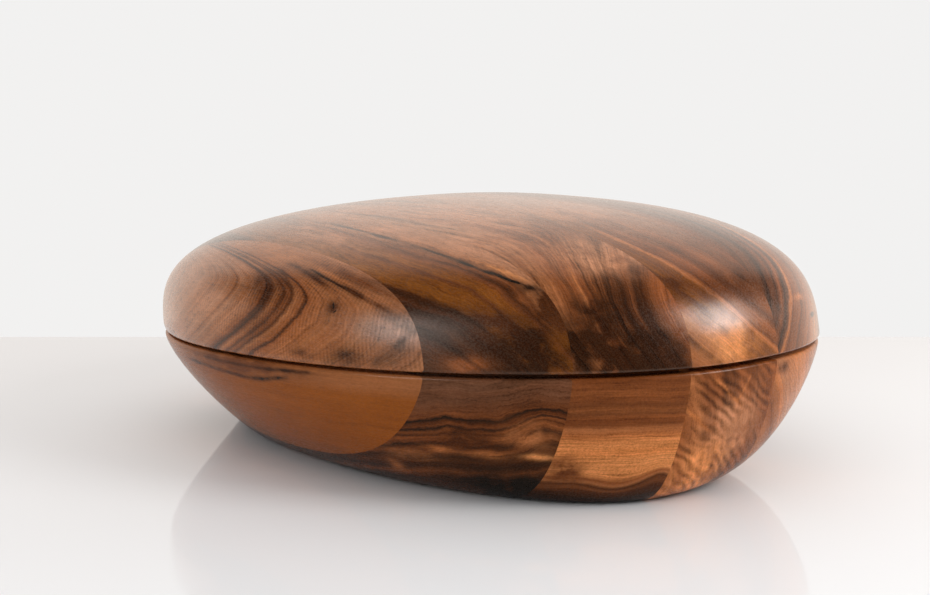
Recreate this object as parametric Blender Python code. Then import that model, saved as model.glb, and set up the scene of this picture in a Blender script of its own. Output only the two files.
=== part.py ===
"""Lidded wooden bowl, carved like a river pebble.

The bowl and its lid are each a block of walnut boards glued side by side and carved to one
egg-shaped form. The boards run along X and stand side by side across Y; the glue joints of the lid
line up with those of the bowl. The bowl stands on a flat foot at Z = 0, the lid sits round a tongue
on the bowl's rim, and it lifts straight off along Z.
"""
import math

import bmesh
import bpy
import numpy as np
from mathutils import Matrix

# Plan of the rim, in metres
LENGTH = 0.391
WIDTH = 0.315
PLAN_POWER = 2.25
EGG_SHARE = 0.163
BOW_SHARE = 0.061

# Heights, in metres
HEIGHT = 0.1354
RIM_HEIGHT = 0.0642
RIM_RISE_X_SHARE = 0.0164
RIM_RISE_Y_SHARE = 0.021

# Bowl: foot, belly and hollow
FOOT_X = -0.0012
FOOT_Y = -0.0314
FOOT_LENGTH_SHARE = 0.797
FOOT_WIDTH_SHARE = 0.499
BELLY_POWER = 1.325
FLARE_POWER = 1.495
FLARE_X_SHARE = 0.515
FLARE_Y_SHARE = 0.122
FLOOR_THICKNESS = 0.015
WALL_THICKNESS = 0.012
COVE_WIDTH = 0.010

# Lid: crown, shoulder and hollow
LID_OVERHANG = 0.0007
APEX_X = -0.0110
APEX_Y = 0.0057
CROWN_POWER = 3.16
SHOULDER_POWER = 2.28
SHOULDER_X_SHARE = 0.199
SHOULDER_Y_SHARE = 0.213
LID_THICKNESS = 0.014

# Seam between bowl and lid
RIM_WIDTH = 0.014
LEDGE_WIDTH = 0.007
TONGUE_HEIGHT = 0.004
TONGUE_CLEARANCE = 0.0005
SEAT_GAP = 0.0003
SEAM_GAP_NARROW = 0.0004
SEAM_GAP_WIDE = 0.0024
RIM_ROUND = 0.0016
LID_EDGE_REACH_WIDE = 0.0034
LID_EDGE_REACH_NARROW = 0.0006
LID_EDGE_RISE_HIGH = 0.0059
LID_EDGE_RISE_LOW = 0.0010

# Boards: places of the glue joints as shares of the plan's breadth, from the front (-Y)
JOINT_SHARES = (0.114, 0.249, 0.395, 0.558, 0.717, 0.872)
GLUE_GAP = 0.0003
SLAB_OVERRUN = 0.02

# Fineness of the carved forms
AROUND = 72
LOW_STEPS = 4
HIGH_STEPS = 5
CROWN_STEPS = 5
EDGE_STEPS = 3
SPREAD_TURN_SHARE = 0.72
SHOULDER_TURN_SHARE = 0.80

# Colours of the boards, front board first: red, green, blue
BOWL_COLOURS = (
    (0.300, 0.112, 0.036),
    (0.086, 0.040, 0.022),
    (0.150, 0.066, 0.034),
    (0.120, 0.050, 0.026),
    (0.190, 0.076, 0.032),
    (0.140, 0.062, 0.030),
    (0.170, 0.074, 0.034),
)
LID_COLOURS = (
    (0.180, 0.080, 0.040),
    (0.110, 0.056, 0.024),
    (0.098, 0.046, 0.026),
    (0.150, 0.070, 0.032),
    (0.120, 0.054, 0.028),
    (0.160, 0.072, 0.036),
    (0.130, 0.058, 0.028),
)
ROUGHNESS = 0.34

TURN = np.linspace(0.0, 2.0 * math.pi, AROUND, endpoint=False)


def clear_scene():
    """Remove every object, so that the script can run again in an open file."""
    for old in list(bpy.data.objects):
        bpy.data.objects.remove(old, do_unlink=True)


def new_collection(name):
    """A collection under the scene, made new."""
    old = bpy.data.collections.get(name)
    if old:
        bpy.data.collections.remove(old)
    collection = bpy.data.collections.new(name)
    bpy.context.scene.collection.children.link(collection)
    return collection


def signed_power(values, power):
    """Each value raised to a power with its sign kept."""
    return np.sign(values) * np.abs(values) ** power


def rim_outline():
    """Outline of the rim: a squared ellipse, wider towards -X, bowed so that both tips lean to +Y."""
    along = signed_power(np.cos(TURN), 2.0 / PLAN_POWER)
    across = signed_power(np.sin(TURN), 2.0 / PLAN_POWER)
    x = along * LENGTH / 2
    y = across * (1 - EGG_SHARE * along) * WIDTH / 2
    y = y + BOW_SHARE * along ** 2 * LENGTH / 2
    y = y - (y.max() + y.min()) / 2
    return np.column_stack((x, y))


def foot_outline():
    """Outline of the flat foot: the rim's outline made smaller and moved."""
    return rim_outline() * (FOOT_LENGTH_SHARE, FOOT_WIDTH_SHARE) + (FOOT_X, FOOT_Y)


def lid_outline():
    """Outline of the lid's lower edge, a little outside the rim all round."""
    return inset(rim_outline(), -LID_OVERHANG)


def inset(outline, distance):
    """The outline moved inwards along its own normals."""
    along = np.roll(outline, -1, axis=0) - np.roll(outline, 1, axis=0)
    normal = np.column_stack((-along[:, 1], along[:, 0]))
    step = np.broadcast_to(distance, len(outline))
    return outline + normal * (step / np.linalg.norm(normal, axis=1))[:, None]


def seam_plane(outline):
    """Heights of the bowl's rim over an outline: level but for a slight rise to +X and +Y."""
    return RIM_HEIGHT + RIM_RISE_X_SHARE * outline[:, 0] + RIM_RISE_Y_SHARE * outline[:, 1]


def along_length(outline, first, last):
    """A size over an outline that changes evenly from first at -X to last at +X."""
    share = outline[:, 0] / LENGTH + 0.5
    return first + (last - first) * share


def seam_gap(outline):
    """Width of the open seam over an outline: it widens from -X to +X."""
    return along_length(outline, SEAM_GAP_NARROW, SEAM_GAP_WIDE)


def ring(outline, heights):
    """One ring of the loft: an outline with a height for each of its points."""
    return np.column_stack((outline, np.broadcast_to(heights, len(outline))))


def flare(share):
    """Share of the way from foot to rim at a share of the height, and the power behind it.

    The share is (1 - (1 - height) ** BELLY_POWER) ** (1 / power): level where it leaves the foot,
    upright at the rim.
    """
    power = FLARE_POWER * np.exp(FLARE_X_SHARE * np.cos(TURN) + FLARE_Y_SHARE * np.sin(TURN))
    return (1 - (1 - share) ** BELLY_POWER) ** (1 / power)


def rise(spread):
    """Share of the height at a share of the way from foot to rim: flare turned round."""
    power = FLARE_POWER * np.exp(FLARE_X_SHARE * np.cos(TURN) + FLARE_Y_SHARE * np.sin(TURN))
    return 1 - (1 - spread ** power) ** (1 / BELLY_POWER)


def belly_rings(low, high, base, top):
    """Rings from an outline at the base up to an outline whose heights are top."""
    turning = rise(np.full(AROUND, SPREAD_TURN_SHARE))
    rings = []
    for step in range(LOW_STEPS):
        spread = np.full(AROUND, SPREAD_TURN_SHARE * step / LOW_STEPS)
        outline = low + (high - low) * spread[:, None]
        rings.append(ring(outline, base + (top - base) * rise(spread)))
    for step in range(HIGH_STEPS + 1):
        share = turning + (1 - turning) * step / HIGH_STEPS
        outline = low + (high - low) * flare(share)[:, None]
        rings.append(ring(outline, base + (top - base) * share))
    return rings


def crown_rings(edge, base, top, start):
    """Rings of a dome whose edge is at heights base, up to a small ring under its apex.

    With s the share of the edge's size and t the share of the height, s ** m + t ** n is one;
    m changes round the lid. The rings begin at the share of the height given as start.
    """
    power = SHOULDER_POWER * np.exp(SHOULDER_X_SHARE * np.cos(TURN) + SHOULDER_Y_SHARE * np.sin(TURN))
    turning = (1 - SHOULDER_TURN_SHARE ** CROWN_POWER) ** (1 / power)
    rings = []
    for step in range(CROWN_STEPS):
        height = start + (SHOULDER_TURN_SHARE - start) * step / CROWN_STEPS
        size = (1 - height ** CROWN_POWER) ** (1 / power)
        rings.append(crown_ring(edge, base, top, size, height))
    for step in range(CROWN_STEPS):
        size = turning * (1 - step / CROWN_STEPS)
        height = (1 - size ** power) ** (1 / CROWN_POWER)
        rings.append(crown_ring(edge, base, top, size, height))
    return rings


def crown_ring(edge, base, top, size, height):
    """One ring of the dome: it leans along X as it rises, and closes in on the apex across Y."""
    centre = np.column_stack((APEX_X * height, APEX_Y * (1 - size)))
    return ring(centre + edge * size[:, None], base + (top - base) * height)


def edge_rings(outline, seam, reach, rise_up):
    """Quarter of an ellipse from an upright wall to the flat of the seam, at a rim's outer edge."""
    rings = []
    for step in range(1, EDGE_STEPS + 1):
        angle = math.pi / 2 * step / EDGE_STEPS
        height = seam + rise_up * (1 - math.sin(angle))
        rings.append(ring(inset(outline, reach * (1 - math.cos(angle))), height))
    return rings


def loft(name, rings, first_tip=None, last_tip=None):
    """Closed solid through the rings; an end is a flat face, or a fan to its tip."""
    mesh = bmesh.new()
    loops = [[mesh.verts.new(point) for point in points] for points in rings]
    for lower, upper in zip(loops, loops[1:]):
        for index in range(AROUND):
            following = (index + 1) % AROUND
            mesh.faces.new((lower[index], lower[following], upper[following], upper[index]))
    for loop, tip in ((loops[0], first_tip), (loops[-1], last_tip)):
        if tip is None:
            mesh.faces.new(loop)
            continue
        point = mesh.verts.new(tip)
        for index in range(AROUND):
            mesh.faces.new((loop[index], loop[(index + 1) % AROUND], point))
    bmesh.ops.recalc_face_normals(mesh, faces=mesh.faces)
    data = bpy.data.meshes.new(name)
    mesh.to_mesh(data)
    mesh.free()
    return bpy.data.objects.new(name, data)


def bowl_form():
    """The carved bowl in one piece, before it is divided into boards."""
    rim = rim_outline()
    foot = foot_outline()
    seam = seam_plane(rim)
    rings = belly_rings(foot, rim, 0.0, seam - RIM_ROUND)
    rings += edge_rings(rim, seam, RIM_ROUND, -RIM_ROUND)
    ledge = inset(rim, LEDGE_WIDTH)
    mouth = inset(rim, RIM_WIDTH)
    rings.append(ring(ledge, seam_plane(ledge)))
    rings.append(ring(ledge, seam_plane(ledge) + TONGUE_HEIGHT))
    floor_share = flare(FLOOR_THICKNESS / seam)
    floor = foot + (rim - foot) * floor_share[:, None]
    floor = inset(floor, WALL_THICKNESS + COVE_WIDTH)
    rings += reversed(belly_rings(floor, mouth, FLOOR_THICKNESS, seam_plane(mouth) + TONGUE_HEIGHT))
    return loft("bowl_form", rings)


def lid_form():
    """The carved lid in one piece, before it is divided into boards."""
    rim = rim_outline()
    edge = lid_outline()
    under = seam_plane(edge) + seam_gap(edge)
    edge_reach = along_length(edge, LID_EDGE_REACH_WIDE, LID_EDGE_REACH_NARROW)
    edge_rise = along_length(edge, LID_EDGE_RISE_HIGH, LID_EDGE_RISE_LOW)
    rings = crown_rings(edge, under, HEIGHT, edge_rise / (HEIGHT - under))
    widest = rings[0][:, :2]
    rings.reverse()
    rings += edge_rings(widest, under, edge_reach, edge_rise)
    land = inset(rim, LEDGE_WIDTH - TONGUE_CLEARANCE)
    mouth = inset(rim, RIM_WIDTH)
    seat = TONGUE_HEIGHT + SEAT_GAP
    rings.append(ring(land, seam_plane(land) + seam_gap(land)))
    rings.append(ring(land, seam_plane(land) + seat))
    inner_height = HEIGHT - LID_THICKNESS
    rings += crown_rings(mouth, seam_plane(mouth) + seat, inner_height, np.zeros(AROUND))
    outer_tip = (APEX_X, APEX_Y, HEIGHT)
    inner_tip = (APEX_X, APEX_Y, inner_height)
    return loft("lid_form", rings, outer_tip, inner_tip)


def joint_places():
    """Y of the glue joints, with the two outer sides of the glued block first and last."""
    breadth = np.ptp(rim_outline()[:, 1])
    inner = [(share - 0.5) * breadth for share in JOINT_SHARES]
    return [-breadth / 2 - SLAB_OVERRUN] + inner + [breadth / 2 + SLAB_OVERRUN]


def wood(name, colour):
    """Oiled walnut in one board's colour."""
    material = bpy.data.materials.new(name)
    material.use_nodes = True
    shader = material.node_tree.nodes["Principled BSDF"]
    shader.inputs["Base Color"].default_value = (*colour, 1.0)
    shader.inputs["Roughness"].default_value = ROUGHNESS
    shader.inputs["Metallic"].default_value = 0.0
    material.diffuse_color = (*colour, 1.0)
    return material


def board(name, low_y, high_y, form, colour, collection):
    """A straight board between two glue joints, carved to the form."""
    size_x = LENGTH + 2 * SLAB_OVERRUN
    size_z = HEIGHT + 2 * SLAB_OVERRUN
    mesh = bmesh.new()
    bmesh.ops.create_cube(mesh, size=1.0)
    bmesh.ops.transform(mesh, matrix=Matrix.Diagonal((size_x, high_y - low_y, size_z, 1.0)), verts=mesh.verts)
    data = bpy.data.meshes.new(name)
    mesh.to_mesh(data)
    mesh.free()
    data.materials.append(wood(name, colour))
    piece = bpy.data.objects.new(name, data)
    piece.location = (0.0, (low_y + high_y) / 2, HEIGHT / 2)
    collection.objects.link(piece)
    carve = piece.modifiers.new("carve", "BOOLEAN")
    carve.operation = "INTERSECT"
    carve.solver = "EXACT"
    carve.object = form
    return piece


def boards(prefix, form, colours, collection, parent):
    """All the boards of one half, front board first."""
    places = joint_places()
    for index, colour in enumerate(colours):
        low_y = places[index] + GLUE_GAP / 2
        high_y = places[index + 1] - GLUE_GAP / 2
        piece = board(f"{prefix}_board_{index + 1}", low_y, high_y, form, colour, collection)
        piece.parent = parent


def as_guide(form, collection):
    """Keep a carved form as a guide that isn't rendered."""
    form.hide_render = True
    form.display_type = "WIRE"
    collection.objects.link(form)


def main():
    clear_scene()
    parts = new_collection("lidded_wooden_bowl")
    guides = new_collection("carved_forms")
    bowl = bowl_form()
    lid = lid_form()
    as_guide(bowl, guides)
    as_guide(lid, guides)
    lift = bpy.data.objects.new("lid_lift", None)
    parts.objects.link(lift)
    boards("bowl", bowl, BOWL_COLOURS, parts, None)
    boards("lid", lid, LID_COLOURS, parts, lift)


if __name__ == "__main__":
    main()
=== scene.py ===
"""Looks of the lidded wooden bowl: figured walnut boards, carved fine, on a white studio table.

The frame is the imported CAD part. Every board of the bowl and of the lid is cut again from a finely
worked carved form and takes a walnut material of its own; the CAD boards stay for collision.
"""

import math
from functools import partialmethod

import bmesh
import bpy
import numpy as np
from bpy.props import FloatProperty, FloatVectorProperty, PointerProperty
from bpy.types import Operator, Panel, PropertyGroup
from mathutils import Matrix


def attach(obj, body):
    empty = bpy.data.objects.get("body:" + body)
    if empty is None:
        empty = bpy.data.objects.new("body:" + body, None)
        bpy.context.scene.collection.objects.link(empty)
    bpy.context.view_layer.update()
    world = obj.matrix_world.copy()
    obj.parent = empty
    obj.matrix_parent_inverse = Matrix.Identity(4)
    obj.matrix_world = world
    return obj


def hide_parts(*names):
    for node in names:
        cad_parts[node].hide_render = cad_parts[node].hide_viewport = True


bl_info = {
    "name": "Lidded walnut bowl",
    "version": (1, 0, 0),
    "blender": (4, 5, 0),
    "location": "View3D > Sidebar > Lidded Bowl",
    "description": "Carved walnut boards, table and studio light for a lidded bowl",
    "category": "Add Mesh",
}

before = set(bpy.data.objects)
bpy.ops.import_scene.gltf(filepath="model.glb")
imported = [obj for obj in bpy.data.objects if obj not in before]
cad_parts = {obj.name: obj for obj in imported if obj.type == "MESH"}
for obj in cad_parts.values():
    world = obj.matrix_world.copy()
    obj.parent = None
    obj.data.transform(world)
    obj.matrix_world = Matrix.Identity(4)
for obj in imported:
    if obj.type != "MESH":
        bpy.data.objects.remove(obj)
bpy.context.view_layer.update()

# Plan of the rim, in metres
LENGTH = 0.391
WIDTH = 0.315
PLAN_POWER = 2.25
EGG_SHARE = 0.163
BOW_SHARE = 0.061

# Heights, in metres
HEIGHT = 0.1354
RIM_HEIGHT = 0.0642
RIM_RISE_X_SHARE = 0.0164
RIM_RISE_Y_SHARE = 0.021

# Bowl: foot, belly and hollow
FOOT_SHIFT = (-0.0012, -0.0314)
FOOT_SHARES = (0.797, 0.499)
BELLY_POWER = 1.325
FLARE_POWER = 1.495
FLARE_X_SHARE = 0.515
FLARE_Y_SHARE = 0.122
FLOOR_THICKNESS = 0.015
FLOOR_INSET = 0.022

# Lid: crown, shoulder and hollow
LID_OVERHANG = 0.0007
APEX_X = -0.0110
APEX_Y = 0.0057
CROWN_POWER = 3.16
SHOULDER_POWER = 2.28
SHOULDER_X_SHARE = 0.199
SHOULDER_Y_SHARE = 0.213
LID_THICKNESS = 0.014

# Seam between bowl and lid
RIM_WIDTH = 0.014
LEDGE_WIDTH = 0.007
TONGUE_HEIGHT = 0.004
TONGUE_CLEARANCE = 0.0005
SEAT_GAP = 0.0003
SEAM_GAP_NARROW = 0.0004
SEAM_GAP_WIDE = 0.0024
RIM_ROUND = 0.0016
LID_EDGE_REACH_WIDE = 0.0034
LID_EDGE_REACH_NARROW = 0.0006
LID_EDGE_RISE_HIGH = 0.0059
LID_EDGE_RISE_LOW = 0.0010

# Boards: glue joints as shares of the plan's breadth, from the front
JOINT_SHARES = (0.114, 0.249, 0.395, 0.558, 0.717, 0.872)
SLAB_OVERRUN = 0.02
GLUE_LINE = 0.00005

# Fineness of the worked forms
AROUND = 600
BELLY_STEPS = 44
WALL_STEPS = 30
CROWN_STEPS = 48
EDGE_STEPS = 8
SPREAD_TURN_SHARE = 0.72
SHOULDER_TURN_SHARE = 0.80

# Camera: the photograph's view
CAMERA_PLACE = (0.5964, -0.4976, 0.1873)
CAMERA_TURN = math.radians(50.97)
CAMERA_DIP = math.radians(8.028)
CAMERA_LENS = 52.68
SENSOR_WIDTH = 36.0

# Turn of each point round a form
TURN = np.linspace(0.0, 2.0 * math.pi, AROUND, endpoint=False)

# How the forms' meshes are made
NORMAL_LAYER = "form_normal"
SMALLEST_LENGTH = 1e-12
CUT_TOLERANCE = 1e-7

# Directions in a board, and the way in which curl counts up
ALONG = (1.0, 0.0, 0.0)
ACROSS = (0.0, 1.0, 0.0)
UPRIGHT = (0.0, 0.0, 1.0)
LEANING = (0.0, 0.5, 1.0)
CURL_SLOPE = (0.16, 0.02, 0.02)


# ---------------------------------------------------------------- carved forms

def signed_power(values, power):
    """Each value raised to a power with its sign kept."""
    return np.sign(values) * np.abs(values) ** power


def rim_outline(sizes):
    """Outline of the rim: a squared ellipse, wider towards -X, bowed so that both tips lean to +Y."""
    along = signed_power(np.cos(TURN), 2.0 / PLAN_POWER)
    across = signed_power(np.sin(TURN), 2.0 / PLAN_POWER)
    x = along * sizes.length / 2
    y = across * (1 - EGG_SHARE * along) * sizes.width / 2 + BOW_SHARE * along ** 2 * sizes.length / 2
    return np.column_stack((x, y - (y.max() + y.min()) / 2))


def inset(outline, distance):
    """The outline moved inwards along its own normals."""
    along = np.roll(outline, -1, axis=0) - np.roll(outline, 1, axis=0)
    normal = np.column_stack((-along[:, 1], along[:, 0]))
    step = np.broadcast_to(distance, len(outline))
    return outline + normal * (step / np.linalg.norm(normal, axis=1))[:, None]


def seam_plane(outline, sizes):
    """Heights of the bowl's rim: level but for a slight rise to +X and +Y."""
    return sizes.rim_height + RIM_RISE_X_SHARE * outline[:, 0] + RIM_RISE_Y_SHARE * outline[:, 1]


def along_length(outline, sizes, first, last):
    """A size that changes evenly from first at -X to last at +X."""
    return first + (last - first) * (outline[:, 0] / sizes.length + 0.5)


def seam_gap(outline, sizes):
    """Width of the open seam: it widens from -X to +X."""
    return along_length(outline, sizes, sizes.seam_gap_narrow, sizes.seam_gap_wide)


def ring(outline, heights):
    """One ring of a form: an outline with a height for each of its points."""
    return np.column_stack((outline, np.broadcast_to(heights, len(outline))))


def flare_power():
    """Power of the belly's curve round the bowl, highest towards +X."""
    return FLARE_POWER * np.exp(FLARE_X_SHARE * np.cos(TURN) + FLARE_Y_SHARE * np.sin(TURN))


def belly_rings(low, high, base, top, steps):
    """Rings of a belly from the low outline to the high one.

    The share of the way out is (1 - (1 - height) ** belly) ** (1 / flare). The first rings keep
    even steps of the way out, the others even steps of the height.
    """
    power = flare_power()
    outward = np.linspace(0.0, SPREAD_TURN_SHARE, steps, endpoint=False)[:, None] * np.ones(AROUND)
    lower = 1 - (1 - outward ** power) ** (1 / BELLY_POWER)
    turning = 1 - (1 - SPREAD_TURN_SHARE ** power) ** (1 / BELLY_POWER)
    upper = turning + (1 - turning) * np.linspace(0.0, 1.0, steps + 1)[:, None]
    height = np.concatenate((lower, upper))
    way_out = np.concatenate((outward, (1 - (1 - upper) ** BELLY_POWER) ** (1 / power)))
    plan = low + (high - low) * way_out[:, :, None]
    return np.dstack((plan, base + (top - base) * height))


def crown_rings(edge, base, top, start):
    """Rings of a dome, from its edge up to a small ring under the apex.

    With s the share of the edge's size and t the share of the height, s ** m + t ** n is one; m
    changes round the lid. The rings begin at the share of the height given as start.
    """
    power = SHOULDER_POWER * np.exp(SHOULDER_X_SHARE * np.cos(TURN) + SHOULDER_Y_SHARE * np.sin(TURN))
    turning = (1 - SHOULDER_TURN_SHARE ** CROWN_POWER) ** (1 / power)
    steps = np.linspace(0.0, 1.0, CROWN_STEPS, endpoint=False)[:, None]
    lower = start + (SHOULDER_TURN_SHARE - start) * steps
    closing = turning * (1 - steps)
    height = np.concatenate((lower, (1 - closing ** power) ** (1 / CROWN_POWER)))
    size = np.concatenate(((1 - lower ** CROWN_POWER) ** (1 / power), closing))
    plan_x = APEX_X * height + edge[:, 0] * size
    plan_y = APEX_Y * (1 - size) + edge[:, 1] * size
    return np.dstack((plan_x, plan_y, base + (top - base) * height))


def edge_rings(outline, seam, reach, rise_up):
    """Quarter of an ellipse from an upright wall to the flat of the seam."""
    angles = np.linspace(0.0, math.pi / 2, EDGE_STEPS + 1)[1:]
    return [ring(inset(outline, reach * (1 - math.cos(angle))), seam + rise_up * (1 - math.sin(angle)))
            for angle in angles]


def strip_normals(rings, outward):
    """Normals of one smooth strip of rings: the step round it crossed with the step along it."""
    round_it = np.roll(rings, -1, axis=1) - np.roll(rings, 1, axis=1)
    along_it = np.gradient(rings, axis=0)
    normals = np.cross(round_it, along_it) * outward
    return normals / np.maximum(np.linalg.norm(normals, axis=2), SMALLEST_LENGTH)[:, :, None]


def form_mesh(outside, step, hollow, outward, first_tip, last_tip):
    """Points, faces and corner normals of a closed form, each end closed by a fan to its tip.

    Its rings, all of one count, run over the outside and the two rings of the step into the hollow.
    The surface is creased at the step, and smooth elsewhere. outward is 1 where the rings run so
    that their normals point out, and -1 where they run the other way.
    """
    rings = np.concatenate((outside, step, hollow))
    count = len(rings)
    crease = len(outside)
    points = np.concatenate((rings.reshape(-1, 3), [first_tip, last_tip]))
    here = np.arange(AROUND)
    following = (here + 1) % AROUND
    rows = np.arange(count - 1)[:, None] * AROUND
    quads = np.stack((rows + here, rows + following, rows + AROUND + following, rows + AROUND + here), axis=2)
    normals = np.zeros((count - 1, AROUND, 4, 3))
    bounds = (0, crease, crease + 1, crease + 2, count - 1)
    for start, end in zip(bounds, bounds[1:]):
        strip = strip_normals(rings[start:end + 1], outward)
        ahead = np.roll(strip, -1, axis=1)
        normals[start:end] = np.stack((strip[:-1], ahead[:-1], ahead[1:], strip[1:]), axis=2)
    last = (count - 1) * AROUND
    first_fan = np.column_stack((following, here, np.full(AROUND, count * AROUND)))
    last_fan = np.column_stack((last + here, last + following, np.full(AROUND, count * AROUND + 1)))
    up = np.array((0.0, 0.0, outward))
    fans = (np.broadcast_to(-up, (AROUND, 3, 3)), np.broadcast_to(up, (AROUND, 3, 3)))
    faces = [quads.reshape(-1, 4), first_fan, last_fan]
    corners = [normals.reshape(-1, 4, 3), *fans]
    if outward < 0:
        faces = [part[:, ::-1] for part in faces]
        corners = [part[:, ::-1] for part in corners]
    return points, faces, corners


def bowl_form(sizes):
    """The carved bowl: foot, belly, rounded rim, ledge, tongue and hollow."""
    rim = rim_outline(sizes)
    foot = rim * FOOT_SHARES + FOOT_SHIFT
    seam = seam_plane(rim, sizes)
    belly = belly_rings(foot, rim, 0.0, seam - RIM_ROUND, BELLY_STEPS)
    edge = edge_rings(rim, seam, RIM_ROUND, -RIM_ROUND)
    ledge = inset(rim, LEDGE_WIDTH)
    mouth = inset(rim, sizes.rim_width)
    ledge_height = seam_plane(ledge, sizes)
    mouth_height = seam_plane(mouth, sizes) + TONGUE_HEIGHT
    tongue = [ring(ledge, ledge_height), ring(ledge, ledge_height + TONGUE_HEIGHT)]
    floor_share = (1 - (1 - sizes.floor_thickness / seam) ** BELLY_POWER) ** (1 / flare_power())
    floor = inset(foot + (rim - foot) * floor_share[:, None], FLOOR_INSET)
    hollow = belly_rings(floor, mouth, sizes.floor_thickness, mouth_height, WALL_STEPS)[::-1]
    outside = np.concatenate((belly, edge))
    under, inside = foot.mean(axis=0), floor.mean(axis=0)
    return form_mesh(outside, tongue, hollow, 1.0, (*under, 0.0), (*inside, sizes.floor_thickness))


def lid_form(sizes):
    """The carved lid: crown, rounded lower edge, seat for the tongue and hollow."""
    rim = rim_outline(sizes)
    edge = inset(rim, -LID_OVERHANG)
    under = seam_plane(edge, sizes) + seam_gap(edge, sizes)
    reach = along_length(edge, sizes, LID_EDGE_REACH_WIDE, LID_EDGE_REACH_NARROW)
    rise = along_length(edge, sizes, LID_EDGE_RISE_HIGH, LID_EDGE_RISE_LOW)
    crown = crown_rings(edge, under, sizes.height, rise / (sizes.height - under))[::-1]
    lower = edge_rings(crown[-1][:, :2], under, reach, rise)
    land = inset(rim, LEDGE_WIDTH - TONGUE_CLEARANCE)
    mouth = inset(rim, sizes.rim_width)
    land_height = seam_plane(land, sizes)
    seat = TONGUE_HEIGHT + SEAT_GAP
    step_up = [ring(land, land_height + seam_gap(land, sizes)), ring(land, land_height + seat)]
    inner_top = sizes.height - sizes.lid_thickness
    hollow = crown_rings(mouth, seam_plane(mouth, sizes) + seat, inner_top, np.zeros(AROUND))
    outside = np.concatenate((crown, lower))
    apex = (APEX_X, APEX_Y)
    return form_mesh(outside, step_up, hollow, -1.0, (*apex, sizes.height), (*apex, inner_top))


def slab_of_form(name, form, low_y, high_y):
    """Mesh of the form's faces that touch the slab between two planes across Y."""
    points, faces, corners = form
    kept, normals = [], []
    for part, corner in zip(faces, corners):
        reach = points[part, 1]
        touching = (reach.max(axis=1) > low_y) & (reach.min(axis=1) < high_y)
        kept += part[touching].tolist()
        normals.append(corner[touching].reshape(-1, 3))
    mesh = bpy.data.meshes.new(name)
    mesh.from_pydata(points.tolist(), [], kept)
    layer = mesh.attributes.new(NORMAL_LAYER, "FLOAT_VECTOR", "CORNER")
    layer.data.foreach_set("vector", np.concatenate(normals).ravel())
    return mesh


def cut_board(mesh, low_y, high_y):
    """Cut a slab of the form off flat at both glue joints, and close it there."""
    work = bmesh.new()
    work.from_mesh(mesh)
    for place, side in ((low_y, -1.0), (high_y, 1.0)):
        everything = work.verts[:] + work.edges[:] + work.faces[:]
        cut = bmesh.ops.bisect_plane(work, geom=everything, dist=CUT_TOLERANCE, plane_co=(0.0, place, 0.0),
                                     plane_no=(0.0, side, 0.0), clear_outer=True)
        rim = [part for part in cut["geom_cut"] if isinstance(part, bmesh.types.BMEdge)]
        if rim:
            bmesh.ops.holes_fill(work, edges=rim)
    loose = [vertex for vertex in work.verts if not vertex.link_faces]
    bmesh.ops.delete(work, geom=loose, context="VERTS")
    work.to_mesh(mesh)
    work.free()


def settle_normals(mesh):
    """Give each corner the form's own normal, and each flat cut face its own."""
    count = len(mesh.loops)
    normals = np.empty(count * 3)
    mesh.attributes[NORMAL_LAYER].data.foreach_get("vector", normals)
    normals = normals.reshape(-1, 3)
    totals = np.empty(len(mesh.polygons), dtype=int)
    mesh.polygons.foreach_get("loop_total", totals)
    flat = np.empty(len(mesh.polygons) * 3)
    mesh.polygons.foreach_get("normal", flat)
    flat = np.repeat(flat.reshape(-1, 3), totals, axis=0)
    length = np.linalg.norm(normals, axis=1)
    cut = length < 0.5
    normals[cut] = flat[cut]
    normals[~cut] /= length[~cut][:, None]
    mesh.polygons.foreach_set("use_smooth", np.ones(len(mesh.polygons), dtype=bool))
    mesh.normals_split_custom_set(normals.tolist())
    mesh.attributes.remove(mesh.attributes[NORMAL_LAYER])


def joint_places(sizes):
    """Y of the glue joints, with the two outer sides of the glued block first and last."""
    breadth = np.ptp(rim_outline(sizes)[:, 1])
    inner = [(share - 0.5) * breadth for share in JOINT_SHARES]
    return [-breadth / 2 - SLAB_OVERRUN] + inner + [breadth / 2 + SLAB_OVERRUN]


def new_object(name, data):
    """An object in the scene."""
    made = bpy.data.objects.new(name, data)
    bpy.context.scene.collection.objects.link(made)
    return made


def make_board(half, number, form, sizes, material):
    """One board of a half, cut from its form; it replaces the CAD board of the same name."""
    places = joint_places(sizes)
    low_y = places[number - 1] + GLUE_LINE / 2
    high_y = places[number] - GLUE_LINE / 2
    node = f"{half}_board_{number}"
    mesh = slab_of_form(f"{node}_walnut", form, low_y, high_y)
    cut_board(mesh, low_y, high_y)
    settle_normals(mesh)
    mesh.materials.append(material)
    piece = new_object(f"{node}_walnut", mesh)
    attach(piece, half)
    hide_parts(node)


# ---------------------------------------------------------------- shader trees

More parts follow.
